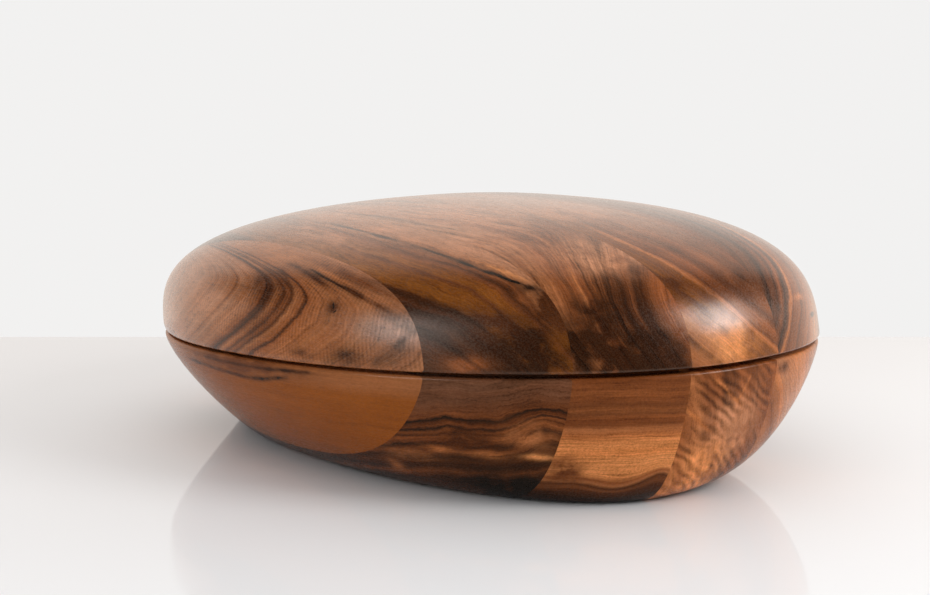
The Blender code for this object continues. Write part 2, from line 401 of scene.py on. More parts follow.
class Wire:
    """An output of a shader node. Arithmetic with it writes math nodes into its tree."""

    def __init__(self, socket):
        self.socket = socket
        self.tree = socket.id_data

    def calc(self, operation, *others, kind="ShaderNodeMath", output=0):
        """Output of a math node whose first value is this one."""
        values = {f"n{place}": value for place, value in enumerate((self, *others))}
        return wire(self.tree, kind, output, {"operation": operation}, **values)

    def vector(self, operation, other):
        """A vector worked out part by part from this one and another."""
        return self.calc(operation, other, kind="ShaderNodeVectorMath")

    def dot(self, other):
        """Dot product with another vector."""
        return self.calc("DOT_PRODUCT", other, kind="ShaderNodeVectorMath", output="Value")

    __add__ = partialmethod(calc, "ADD")
    __sub__ = partialmethod(calc, "SUBTRACT")
    __mul__ = partialmethod(calc, "MULTIPLY")
    __truediv__ = partialmethod(calc, "DIVIDE")
    __pow__ = partialmethod(calc, "POWER")
    __abs__ = partialmethod(calc, "ABSOLUTE")
    __neg__ = partialmethod(calc, "MULTIPLY", -1.0)

    def __rsub__(self, number):
        return wire(self.tree, "ShaderNodeMath", 0, {"operation": "SUBTRACT"}, n0=number, n1=self)


def feed(node, **values):
    """Give inputs of a node their values, each a plain value or a wire.

    An input goes by its name, or by n and its number.
    """
    for key, value in values.items():
        socket = node.inputs[int(key[1:]) if key[0] == "n" and key[1:].isdigit() else key.replace("_", " ")]
        if isinstance(value, Wire):
            value.tree.links.new(value.socket, socket)
        else:
            socket.default_value = value


def put(tree, kind, settings=None, **values):
    """A new node with its settings and input values."""
    node = tree.nodes.new(kind)
    for key, setting in (settings or {}).items():
        setattr(node, key, setting)
    feed(node, **values)
    return node


def wires(node):
    """All outputs of a node, by their names."""
    return {socket.name: Wire(socket) for socket in node.outputs}


def wire(tree, kind, output=0, settings=None, **values):
    """One output of a new node."""
    return Wire(put(tree, kind, settings, **values).outputs[output])


def parts_of(vector):
    """X, Y and Z of a vector."""
    return wires(put(vector.tree, "ShaderNodeSeparateXYZ", Vector=vector)).values()


def joined(x, y, z):
    """Vector of three values."""
    return wire(x.tree, "ShaderNodeCombineXYZ", X=x, Y=y, Z=z)


def stretched(place, along, across=1.0):
    """A place scaled along the board and across it."""
    return place.vector("MULTIPLY", (along, across, across))


def spread(value, low, high, new_low=0.0, new_high=1.0):
    """A value carried smoothly from one range to another."""
    return wire(value.tree, "ShaderNodeMapRange", 0, {"interpolation_type": "SMOOTHSTEP"},
                n0=value, n1=low, n2=high, n3=new_low, n4=new_high)


def blend(share, first, second):
    """Two colours mixed by a share."""
    first, second = (colour if isinstance(colour, Wire) else (*colour, 1.0) for colour in (first, second))
    return wire(share.tree, "ShaderNodeMix", 2, {"data_type": "RGBA"}, n0=share, n6=first, n7=second)


def clouds(place, count, detail=2.0, rough=0.5):
    """Noise with a count to the unit of the place."""
    return wire(place.tree, "ShaderNodeTexNoise", "Fac", Vector=place, Scale=count, Detail=detail,
                Roughness=rough)


def swing(noise, amount):
    """A noise about zero, times an amount."""
    return (noise - 0.5) * amount


def new_material(name):
    """A material and its shader node."""
    material = bpy.data.materials.new(name)
    material.use_nodes = True
    return material, material.node_tree.nodes["Principled BSDF"]


def new_group(name, inputs, outputs):
    """A node group that takes a place and more inputs: its tree, its inputs as wires and its output.

    The default of an input tells its kind.
    """
    tree = bpy.data.node_groups.new(name, "ShaderNodeTree")
    for key, default in {"Place": (0.0, 0.0, 0.0), **inputs}.items():
        parts = len(default) if isinstance(default, tuple) else 1
        kind = {1: "NodeSocketFloat", 3: "NodeSocketVector", 4: "NodeSocketColor"}[parts]
        socket = tree.interface.new_socket(key.replace("_", " "), in_out="INPUT", socket_type=kind)
        socket.default_value = default
    for label in outputs:
        kind = "NodeSocketColor" if label == "Colour" else "NodeSocketFloat"
        tree.interface.new_socket(label, in_out="OUTPUT", socket_type=kind)
    return tree, wires(tree.nodes.new("NodeGroupInput")), tree.nodes.new("NodeGroupOutput")


# Growth layers. A noise is its count to the millimetre, its detail and its roughness; a draw is how
# a place is scaled along the board, and across it if that is not 1
SLOW_DRAW, SLOW_NOISE = 0.45, (0.030, 1.0)
QUICK_DRAW, QUICK_NOISE = 0.35, (0.11, 4.0, 0.62)


def flow_group(name):
    """Distance through the growth layers, in millimetres, at a place in a board.

    The layers are planes with a slope, bent by three half parabolas: past a place along the board,
    above a height and below it. Slow and quick noise, drawn out along the grain, make them wander.
    """
    tree, given, out = new_group(name, flow(UPRIGHT, 0.0), ("Layer", "Wander"))
    place, seed = given["Place"], given["Seed"]
    x, _, _ = parts_of(place)
    past = x - given["Bend Start"]
    lifted = place.dot(given["Rise"]) - given["Arch Height"]
    layer = place.dot(given["Slope"])
    for way, side, amount in ((past, "MAXIMUM", "Bend"), (lifted, "MAXIMUM", "Arch Above"),
                              (lifted, "MINIMUM", "Arch Below")):
        reach = way.calc(side, 0.0)
        layer = layer + reach * reach * given[amount]
    moved = place.vector("ADD", joined(seed, seed, seed))
    wander = (swing(clouds(stretched(moved, SLOW_DRAW), *SLOW_NOISE), given["Slow Wander"] * 2.0)
              + swing(clouds(stretched(moved, QUICK_DRAW), *QUICK_NOISE), given["Quick Wander"] * 2.0))
    feed(out, Layer=layer + wander, Wander=wander)
    return tree


def spot_group(name):
    """A soft spot: e to the minus squared distance from a centre, each axis by its own reach."""
    tree, given, out = new_group(name, {"Centre": (0.0, 0.0, 0.0), "Reach": (10.0, 10.0, 10.0)}, ("Spot",))
    away = given["Place"].vector("SUBTRACT", given["Centre"]).vector("DIVIDE", given["Reach"])
    feed(out, Spot=(-away.dot(away)).calc("EXPONENT"))
    return tree


# How hard a streak's ends are
STREAK_END_POWER = 4.0


def streak_group(name):
    """A single streak: a parabola over the board's run, soft across its width and at both ends."""
    tree, given, out = new_group(name, {
        "Run": ALONG, "Rise": UPRIGHT, "Middle": (0.0, 0.0, 0.0), "Slope": 0.0, "Bend": 0.0, "Length": 20.0,
        "Width": 1.0, "Wander": 0.0}, ("Streak",))
    middle_run, middle_height, _ = parts_of(given["Middle"])
    run = given["Place"].dot(given["Run"]) - middle_run
    height = given["Place"].dot(given["Rise"]) - middle_height
    curve = run * (given["Slope"] + run * given["Bend"])
    across = (height + given["Wander"] - curve) / given["Width"]
    along = run / given["Length"]
    feed(out, Streak=(-(across * across + abs(along) ** STREAK_END_POWER)).calc("EXPONENT"))
    return tree


# Finish of the wood, with the noises and draws as above. A range is where a noise turns from none
# to full, and a swing or a shade how much it does to the colour
LAYER_DRIFT_ALONG, LAYER_DRIFT_ACROSS = 0.035, 0.03
BROAD_LINES_NOISE, BROAD_LINES_SWING = (0.35, 3.0, 0.6), 2.0
FINE_LINES_NOISE, FINE_LINES_SWING = (1.3, 3.0, 0.7), 2.6
LATE_WOOD_NOISE, LATE_WOOD_RANGE, LATE_WOOD_SHADE = (0.45, 3.0, 0.7), (0.53, 0.64), -0.45
CURL_BEND_DRAW, CURL_BEND_NOISE, CURL_BEND = (0.02, 0.05), (1.0, 2.0), 2.5
CURL_PATCH_SHIFT, CURL_PATCH_NOISE, CURL_PATCH_RANGE = (7.0, 3.0, 5.0), (0.06, 2.0), (0.36, 0.60)
CURL_SHADE = 0.4
MOTTLE_DRAW, MOTTLE_NOISE, MOTTLE_SWING = 0.5, (0.05, 4.0, 0.6), 3.0
FIBRE_DRAW, FIBRE_NOISE, FIBRE_SWING, FIBRE_HEIGHT = (0.10, 1.1), (1.0, 3.0, 0.7), 2.4, -0.8
PORE_DRAW, PORE_NOISE, PORE_RANGE, PORE_SHADE = (0.22, 1.6), (1.0, 2.0, 0.7), (0.54, 0.70), -0.7
MEAN_SHADE, DARKEST_SHADE = 1.10, 0.15
WARMTH_NOISE, WARMTH_IN_GREEN = (0.12, 2.0), 0.5
RED_POWER, BLUE_POWER = 0.9, 1.2
SHEEN_MOTTLE, SHEEN_RANGE, ROUGHNESS_RANGE = 0.2, (0.3, 0.75), (0.20, 0.36)


def finish_group(name):
    """Fine growth lines, curl, slow mottle, fibres and open pores laid over a board's colour."""
    tree, given, out = new_group(name, {"Layer": 0.0, "Colour": (0.2, 0.1, 0.05, 1.0), **finish(0.0)},
                                 ("Colour", "Roughness", "Height"))
    place = given["Place"]
    x, y, _ = parts_of(place)
    layered = joined(given["Layer"], x * LAYER_DRIFT_ALONG, given["Seed"] + y * LAYER_DRIFT_ACROSS)
    lines = (swing(clouds(layered, *BROAD_LINES_NOISE), BROAD_LINES_SWING)
             + swing(clouds(layered, *FINE_LINES_NOISE), FINE_LINES_SWING)
             + spread(clouds(layered, *LATE_WOOD_NOISE), *LATE_WOOD_RANGE) * LATE_WOOD_SHADE)
    curl_way = (place.dot(given["Curl Slope"])
                + clouds(stretched(place, *CURL_BEND_DRAW), *CURL_BEND_NOISE) * CURL_BEND)
    curl_patch = clouds(place.vector("ADD", CURL_PATCH_SHIFT), *CURL_PATCH_NOISE)
    curl = (curl_way * (2 * math.pi)).calc("SINE") * spread(curl_patch, *CURL_PATCH_RANGE)
    mottle = clouds(stretched(place, MOTTLE_DRAW), *MOTTLE_NOISE)
    fibre = clouds(stretched(place, *FIBRE_DRAW), *FIBRE_NOISE)
    grit = clouds(stretched(place, *PORE_DRAW), *PORE_NOISE)
    pores = spread(grit, *PORE_RANGE)
    shade = lines * given["Lines"] + MEAN_SHADE + curl * CURL_SHADE * given["Curl"]
    shade = shade + swing(mottle, MOTTLE_SWING) * given["Mottle"] + swing(fibre, FIBRE_SWING) * given["Fibre"]
    shade = (shade + pores * (given["Pores"] * PORE_SHADE)).calc("MAXIMUM", DARKEST_SHADE)
    warmth = swing(clouds(layered, *WARMTH_NOISE), given["Lines"])
    tint = joined(shade ** RED_POWER, shade * (1.0 - warmth * WARMTH_IN_GREEN),
                  shade ** BLUE_POWER * (1.0 - warmth))
    feed(out, Colour=given["Colour"].vector("MULTIPLY", tint),
         Roughness=spread(grit + swing(mottle, SHEEN_MOTTLE), *SHEEN_RANGE, *ROUGHNESS_RANGE),
         Height=-(pores * given["Pores"] + swing(fibre, FIBRE_HEIGHT)))
    return tree


def tone_ramp(layer, stops, tones):
    """Colours of the growth layers: each stop is a layer in millimetres and its tone."""
    low, *between, high = stops
    share = wire(layer.tree, "ShaderNodeMapRange", n0=layer, n1=float(low), n2=float(high))
    ramp = put(layer.tree, "ShaderNodeValToRGB", Fac=share)
    for place in between:
        ramp.color_ramp.elements.new((place - low) / (high - low))
    for element, shade in zip(ramp.color_ramp.elements, stops.values()):
        element.color = (*getattr(tones, shade), 1.0)
    return Wire(ramp.outputs["Color"])


# The shared groups, and the wood of a board, with noises and draws as above
GROUPS = {"flow": ("walnut_growth_layers", flow_group), "spot": ("walnut_spot", spot_group),
          "streak": ("walnut_streak", streak_group), "finish": ("oiled_walnut_finish", finish_group)}
MM_PER_METRE = 1000.0
RAGGED_DRAW, RAGGED_NOISE, RAGGED_RANGE = 0.5, (0.14, 3.0), (0.25, 0.70, 0.35, 1.5)
STREAK_WANDER = 0.35
BUMP_STRENGTH, BUMP_DEPTH = 0.35, 0.0002
WOOD_SHINE_TINT = (1.0, 0.72, 0.50, 1.0)


def board_wood(name, board, groups, tones, gloss, oil):
    """Walnut of one board: its layers, tones, patches, streaks and finish under a coat of oil."""
    material, shader = new_material(name)
    tree = material.node_tree
    place = wire(tree, "ShaderNodeMapping", Vector=wire(tree, "ShaderNodeTexCoord", "Object"),
                 Scale=(MM_PER_METRE,) * 3)

    def walnut(group, **values):
        """Outputs of one of the shared groups at this board's place."""
        return wires(put(tree, "ShaderNodeGroup", {"node_tree": groups[group]}, Place=place, **values))

    def laid_over(colour, shape, shade, strength):
        """The colour with a tone laid over it, ragged at its edge."""
        here = (shape * ragged * strength).calc("MINIMUM", 1.0)
        return blend(here, colour, tuple(getattr(tones, shade)))

    flowing = walnut("flow", **board["flow"])
    layer = flowing["Layer"]
    for centre, reach, lift in board["swells"]:
        layer = layer + walnut("spot", Centre=centre, Reach=reach)["Spot"] * lift
    colour = tone_ramp(layer, board["tones"], tones)
    ragged = spread(clouds(stretched(place, RAGGED_DRAW), *RAGGED_NOISE), *RAGGED_RANGE)
    for shade, centre, reach, strength in board["patches"]:
        colour = laid_over(colour, walnut("spot", Centre=centre, Reach=reach)["Spot"], shade, strength)
    wander = flowing["Wander"] * STREAK_WANDER
    for shade, middle, slope, bend, length, width, strength in board["streaks"]:
        streak = walnut("streak", Run=board["run"], Rise=board["flow"]["Rise"], Middle=(*middle, 0.0),
                        Slope=slope, Bend=bend, Length=length, Width=width, Wander=wander)["Streak"]
        colour = laid_over(colour, streak, shade, strength)
    done = walnut("finish", Layer=layer, Colour=colour, **board["finish"])
    bump = wire(tree, "ShaderNodeBump", Height=done["Height"], Strength=BUMP_STRENGTH, Distance=BUMP_DEPTH)
    feed(shader, Base_Color=done["Colour"], Roughness=done["Roughness"], Normal=bump, IOR=gloss,
         Specular_Tint=WOOD_SHINE_TINT, Coat_Weight=oil, Coat_Roughness=tones.oil_roughness,
         Coat_IOR=tones.oil_gloss)
    return material


# ---------------------------------------------------------------- the boards' figure

def flow(slope, seed, start=0.0, bend=0.0, arch=0.0, above=0.0, below=0.0, slow=4.0, quick=1.0,
         rise=LEANING):
    """Inputs of the growth layers."""
    return {"Slope": slope, "Seed": seed, "Bend_Start": start, "Bend": bend, "Arch_Height": arch,
            "Arch_Above": above, "Arch_Below": below, "Slow_Wander": slow, "Quick_Wander": quick,
            "Rise": rise}


def finish(seed, lines=0.5, curl=0.0, curl_slope=CURL_SLOPE, mottle=0.4, fibre=0.5, pores=0.5):
    """Inputs of the finish."""
    return {"Seed": seed, "Lines": lines, "Curl": curl, "Curl_Slope": curl_slope, "Mottle": mottle,
            "Fibre": fibre, "Pores": pores}


def figure(layers, surface, tones, swells=(), patches=(), streaks=(), run=ALONG):
    """Figure of one board, as the tables below give it. Its streaks go the way of run."""
    return {"flow": layers, "finish": surface, "tones": tones, "swells": swells, "patches": patches,
            "streaks": streaks, "run": run}


# Boards of the lid, front board first. Places are millimetres. A tone's key is its growth layer. A
# patch is its tone, centre, reach and strength; a swell its centre, reach and lift of the layers; a
# streak its tone, its middle along the run and up the rise, slope, bend, length, width and strength
LID_BOARDS = (
    figure(flow((1.0, 0.0, 0.0), 3.0, arch=21.0, above=0.16, below=0.024, slow=5.0, quick=3.0),
        finish(1.0, curl=0.5, curl_slope=(0.48, 0.0, 0.04), mottle=0.5, fibre=0.45, pores=0.6),
        tones={-90: "rose", -55: "rose", -46: "tan", -36: "rose", -26: "rose", -20: "tan", -14: "rose",
          -8: "tan", -3: "rose", 2: "tan", 6: "red", 9: "umber", 11: "dark", 13: "brown", 16: "tan",
          19: "red", 21: "umber", 24: "red", 27: "umber", 30: "tan", 35: "red", 37.5: "dark", 39: "red",
          44: "tan", 120: "tan", 190: "rose"},
        patches=(("umber", (5, -148, 100), (12, 16, 6), 0.9), ("umber", (56, -141, 91), (4, 5, 4), 0.9),
          ("dark", (90, -131, 73), (6, 9, 6), 0.8), ("umber", (68, -141, 70), (8, 12, 4), 0.9),
          ("umber", (42, -149, 68), (7, 12, 2.5), 0.9), ("grey", (66, -124, 104), (24, 12, 8), 0.6),
          ("grey", (92, -130, 84), (16, 14, 14), 0.9)),
        streaks=(("umber", (30, 36.5), -0.24, -0.002, 22, 1.8, 1.1),
          ("dark", (44, 36), -0.22, 0.0, 20, 0.8, 1.3), ("orange", (40, 40), -0.20, 0.0, 18, 0.8, 0.6),
          ("umber", (72, 30), -0.22, 0.0, 17, 1.6, 0.9), ("brown", (50, 42), -0.18, -0.001, 34, 2.2, 0.7),
          ("umber", (16, 31), -0.5, -0.01, 12, 1.5, 0.9), ("dark", (90, 9), 1.2, 0.0, 8, 2.4, 0.9),
          ("bark", (55.5, 22), -1.5, 0.0, 0.9, 0.6, 1.4), ("bark", (57.5, 19), 1.0, 0.0, 0.7, 0.5, 1.2))),
    figure(flow((0.10, 0.5, 1.0), 11.0, start=110.0, bend=0.0085, quick=3.2),
        finish(2.0, lines=0.55, mottle=0.45, fibre=0.45),
        tones={10: "dark", 22: "umber", 27: "umber", 31: "dark", 36: "umber", 41: "dark", 45: "umber",
          47: "dark", 49: "umber", 51: "gold", 60: "gold", 62: "brown", 64: "gold", 68: "gold", 70: "brown",
          72.5: "umber", 74: "red", 76: "brown", 78: "tan", 84: "rose", 120: "rose"},
        patches=(("rose", (10, -100, 122), (60, 30, 10), 0.9), ("bark", (136, -88, 105), (5, 6, 2.2), 1.6),
          ("dark", (143, -93, 78), (20, 20, 11), 1.8), ("red", (122, -112, 70), (10, 10, 3.5), 1.2),
          ("gold", (153, -83, 85), (5, 5, 9), 0.8), ("dark", (100, -118, 86), (20, 14, 6), 0.8),
          ("umber", (128, -103, 88), (12, 10, 7), 1.3), ("umber", (149, -82, 96), (11, 7, 9), 2.6)),
        streaks=(("dark", (45, 72.3), -0.095, 0.0, 60, 0.9, 1.0),
          ("bark", (112, 64.5), -0.11, 0.001, 22, 0.9, 1.4), ("brown", (30, 69), -0.10, 0.0, 40, 2.4, 0.7),
          ("honey", (118, 67.2), -0.12, 0.0, 16, 1.0, 0.7),
          ("dark", (120, 36), -0.25, -0.004, 26, 1.4, 0.9))),
    figure(flow((0.0, 0.5, 1.0), 23.0, start=90.0, bend=0.0085, slow=3.0, quick=1.8),
        finish(3.0, lines=0.8, fibre=0.45),
        tones={60: "rose", 70: "tan", 76: "red", 79: "tan", 82: "red", 85: "tan", 91: "red", 95: "brown",
          98.0: "red", 99.4: "tan", 100.4: "orange", 101.6: "brown", 104: "red", 106: "umber", 108: "red",
          110: "umber", 112: "brown", 115: "dark", 117: "brown", 119: "umber", 122: "dark", 125: "brown",
          128: "dark", 133: "umber", 140: "red"},
        patches=(("rose", (20, -60, 128), (75, 60, 26), 1.5), ("dark", (172, -55, 74), (26, 26, 14), 1.4),
          ("dark", (158, -68, 90), (14, 14, 14), 0.8), ("dark", (163, -70, 84), (8, 8, 8), 1.2),
          ("dark", (159, -77, 79), (14, 6, 12), 1.3), ("brown", (100, -30, 130), (24, 18, 12), 0.8),
          ("rose", (142, -47, 118), (24, 20, 7), 1.5)),
        streaks=(("umber", (5, 91), -0.02, -0.0006, 45, 1.2, 0.6),)),
    figure(flow((0.28, 0.75, 1.0), 37.0, quick=2.2),
        finish(4.0, fibre=0.45),
        tones={90: "red", 104: "tan", 110: "umber", 112: "tan", 118: "tan", 121: "red", 126: "gold",
          130: "umber", 132: "gold", 136: "brown", 139: "gold", 141: "orange", 143: "brown", 149: "red",
          154: "umber", 158: "red", 165: "brown", 180: "brown"},
        patches=(("rose", (40, -5, 132), (80, 40, 20), 1.2), ("umber", (104, -20, 124), (12, 12, 5), 0.7),
          ("umber", (180, 5, 104), (14, 24, 8), 0.9), ("brown", (182, -28, 70), (10, 8, 4), 0.8),
          ("umber", (172, -30, 105), (9, 8, 8), 1.0), ("honey", (190, -10, 79), (10, 14, 10), 1.0))),
    figure(flow((0.0, 1.0, -0.667), 41.0, slow=3.0, quick=2.0),
        finish(5.0, lines=0.8), run=ACROSS,
        tones={-75: "tan", -62: "brown", -54: "umber", -50: "brown", -44: "dark", -40: "brown",
          -36: "umber", -32: "red", -29: "dark", -26: "brown", -24.5: "orange", -22: "red", -12: "brown",
          -4: "red", 8: "tan", 30: "rose"},
        patches=(("dark", (188, 22, 92), (12, 9, 16), 0.7), ("orange", (184, 48, 94), (8, 5, 1.4), 1.0),
          ("bark", (184, 61, 84), (6, 3.2, 0.9), 2.4))),
    figure(flow((0.10, -0.5, 1.0), 53.0, slow=6.0, quick=1.5, rise=(0.0, -0.5, 1.0)),
        finish(6.0, mottle=0.35),
        tones={0: "umber", 15: "brown", 25: "dark", 32: "red", 45: "brown", 55: "umber", 65: "rose",
          90: "red"}),
    figure(flow((0.05, -0.5, 1.0), 61.0, slow=6.0, quick=1.5, rise=(0.0, -0.5, 1.0)),
        finish(7.0, lines=0.4, mottle=0.35),
        tones={-10: "brown", 5: "red", 15: "umber", 22: "brown", 35: "rose", 50: "umber", 60: "red"}),
)

# Boards of the bowl, front board first
BOWL_BOARDS = (
    figure(flow((0.0, 0.0, 1.0), 5.0, slow=1.5, quick=0.8, rise=UPRIGHT),
        finish(11.0, lines=0.22, mottle=0.12, fibre=0.30, pores=0.35),
        tones={0: "gold", 12: "amber", 50: "amber", 56: "tan", 66: "tan"},
        patches=(("brown", (-8, -154, 57), (44, 30, 4.5), 1.3),),
        streaks=(("umber", (-30, 51.2), -0.03, 0.0, 32, 1.3, 1.0),
          ("bark", (16, 52.4), 0.14, 0.002, 15, 1.3, 1.5), ("umber", (-5, 57.0), 0.02, 0.0, 40, 0.8, 1.0),
          ("dark", (32, 58.4), 0.05, 0.0, 16, 1.0, 1.0))),
    figure(flow((-0.10, 0.0, 1.0), 13.0, slow=3.0, quick=3.4, rise=UPRIGHT),
        finish(12.0, lines=0.6, mottle=0.5),
        swells=(((148, -95, 40), (10, 60, 26), -7.0), ((112, -105, 45), (9, 60, 12), -2.0)),
        tones={-20: "dark", -8: "umber", 0: "dark", 3: "brown", 6: "dark", 9: "umber", 11.5: "dark",
          14: "brown", 16: "umber", 17.5: "bark", 19: "brown", 21: "red", 22.5: "umber", 24: "red",
          25.5: "bark", 27: "brown", 28.5: "umber", 30: "bark", 31.5: "brown", 40: "grey", 50: "grey",
          60: "brown"},
        # The first patch lays the darkest tone low on this board's belly towards +X: it is painted shade
        # where the belly turns under to the table.
        patches=(("bark", (132, -92, 6), (26, 60, 11), 1.5), ("orange", (72, -120, 13), (4, 20, 3), 0.9),
          ("honey", (142, -90, 26.5), (6, 20, 1.6), 0.9), ("orange", (100, -115, 27), (7, 20, 1.8), 0.8),
          ("orange", (122, -100, 26), (9, 20, 2.0), 0.6), ("tan", (84, -118, 22), (12, 30, 3), 0.7),
          ("umber", (113, -106, 33), (12, 16, 5), 1.2), ("tan", (141, -91, 37), (9, 20, 6), 1.0))),
    figure(flow((0.0, 0.0, 1.0), 29.0, slow=1.6, quick=0.8, rise=UPRIGHT),
        finish(13.0, lines=0.55, mottle=0.25), run=ACROSS,
        swells=(((165, -55, 10), (40, 10, 9), 3.0), ((165, -38, 18), (40, 7, 9), -4.0)),
        tones={0: "bark", 6: "dark", 9: "umber", 11: "brown", 12.5: "umber", 14: "tan", 15.5: "red",
          18: "honey", 32: "honey", 37: "orange", 40: "tan", 43: "brown", 46: "red", 48: "brown", 50: "red",
          52: "brown", 57: "red", 66: "brown"},
        patches=(("brown", (148, -75, 20), (8, 10, 8), 1.0),)),
    figure(flow((0.0, 1.0, 0.25), 31.0, slow=5.0, quick=3.0, rise=UPRIGHT),
        finish(14.0, lines=0.4, curl=1.1, curl_slope=(0.0, 0.13, 0.18), mottle=0.5), run=ACROSS,
        tones={-50: "tan", -34: "orange", -24: "red", -16: "tan", -10: "brown", -4: "red", 0: "umber",
          4: "brown", 6: "umber", 10: "red", 18: "brown", 30: "red"},
        patches=(("rose", (188, -6, 36), (12, 13, 15), 1.5), ("honey", (180, -16, 20), (14, 12, 12), 0.9),
          ("dark", (188, -20, 35), (12, 4, 4), 0.6), ("honey", (174, -15, 8), (12, 12, 8), 0.9)),
        streaks=(("orange", (-13, 56), -0.75, 0.0, 10, 1.2, 0.9),
          ("orange", (-27, 43), -0.8, 0.01, 9, 1.4, 0.8), ("orange", (-3, 56), 1.9, 0.0, 3, 1.6, 0.7))),
    figure(flow((0.0, 1.0, 0.6), 43.0, slow=3.0, quick=2.0, rise=UPRIGHT),
        finish(15.0, curl=0.25, curl_slope=(0.0, 0.3, 0.35), mottle=0.3), run=ACROSS,
        tones={10: "tan", 40: "tan", 48: "red", 52: "tan", 56: "orange", 62: "rose", 80: "orange",
          100: "rose", 130: "rose"},
        patches=(("umber", (192, 24, 63), (10, 5, 3), 0.8),)),
    figure(flow((0.08, 0.0, 1.0), 47.0, slow=5.0, rise=UPRIGHT),
        finish(16.0, lines=0.4, mottle=0.35),
        tones={0: "umber", 15: "brown", 25: "dark", 32: "red", 45: "brown", 55: "umber", 70: "rose"}),
    figure(flow((-0.05, 0.0, 1.0), 59.0, slow=5.0, rise=UPRIGHT),
        finish(17.0, lines=0.35, mottle=0.35),
        tones={0: "umber", 15: "red", 30: "rose", 40: "brown", 55: "umber", 70: "red"}),
)

# ---------------------------------------------------------------- sizes and colours a user may change

def field(maker, **settings):
    """A function that declares one kind of property from its name, default and description."""
    return lambda name, default, description: maker(name=name, default=default, description=description,
                                                    **settings)


metres = field(FloatProperty, unit="LENGTH", min=0.0, precision=4)
lamp_size = field(FloatVectorProperty, size=2, unit="LENGTH", min=0.0)
lens = field(FloatProperty, subtype="DISTANCE_CAMERA", min=1.0)
radians = field(FloatProperty, subtype="ANGLE")
glow = field(FloatProperty, min=0.0)
tone = field(FloatVectorProperty, subtype="COLOR", min=0.0, max=1.0)
refraction = field(FloatProperty, min=1.0, max=2.0)
factor = field(FloatProperty, subtype="FACTOR", min=0.0, max=1.0)


class BowlSizes(PropertyGroup):
    """Sizes of the carved bowl and its lid."""
    length: metres("Length", LENGTH, "Length of the rim along the boards")
    width: metres("Width", WIDTH, "Breadth of the rim across the boards, before it is bowed")
    height: metres("Height", HEIGHT, "Height of the lid's top above the table")
    rim_height: metres("Rim height", RIM_HEIGHT, "Height of the bowl's rim at its middle")
    rim_width: metres("Rim width", RIM_WIDTH, "Breadth of the rim from the outside to the hollow")
    floor_thickness: metres("Floor thickness", FLOOR_THICKNESS, "Wood under the bowl's hollow")
    lid_thickness: metres("Lid thickness", LID_THICKNESS, "Wood over the lid's hollow")
    seam_gap_narrow: metres("Narrow seam", SEAM_GAP_NARROW, "Open seam at the blunt end")
    seam_gap_wide: metres("Wide seam", SEAM_GAP_WIDE, "Open seam at the narrow end")


class WalnutTones(PropertyGroup):
    """Colours of the oiled walnut, from the darkest, which also paints shade, to sapwood, and the gloss of
    its oil.
    """
    # Darkest tone: for knots, checks and the darkest lines, and also for the painted shade low on the bowl's
    # front belly.
    bark: tone("Bark", (0.008, 0.004, 0.002), "Knots, checks and the darkest lines")
    dark: tone("Dark", (0.034, 0.009, 0.002), "Darkest heartwood")
    umber: tone("Umber", (0.078, 0.020, 0.004), "Dark heartwood")
    grey: tone("Grey brown", (0.145, 0.054, 0.024), "Cool heartwood")
    brown: tone("Brown", (0.155, 0.043, 0.011), "Plain heartwood")
    red: tone("Red brown", (0.225, 0.062, 0.015), "Warm heartwood")
    tan: tone("Tan", (0.340, 0.114, 0.036), "Light heartwood")
    rose: tone("Rose", (0.400, 0.155, 0.066), "Lightest rosy wood")
    gold: tone("Gold", (0.215, 0.062, 0.006), "Golden heartwood")
    amber: tone("Amber", (0.290, 0.076, 0.009), "Golden tan wood")
    honey: tone("Honey", (0.670, 0.240, 0.072), "Light golden bands")
    orange: tone("Orange", (0.470, 0.150, 0.042), "Light orange streaks")
    lid_gloss: refraction("Lid wood gloss", 1.40, "Index of refraction of the lid's wood")
    bowl_gloss: refraction("Bowl wood gloss", 1.22, "Index of refraction of the bowl's wood")
    lid_oil: factor("Lid oil", 1.0, "How fully the oil coats the lid")
    bowl_oil: factor("Bowl oil", 0.15, "How fully the oil coats the bowl")
    oil_gloss: refraction("Oil gloss", 1.20, "Index of refraction of the oil")
    oil_roughness: factor("Oil roughness", 0.19, "Softness of the oil's mirror image")


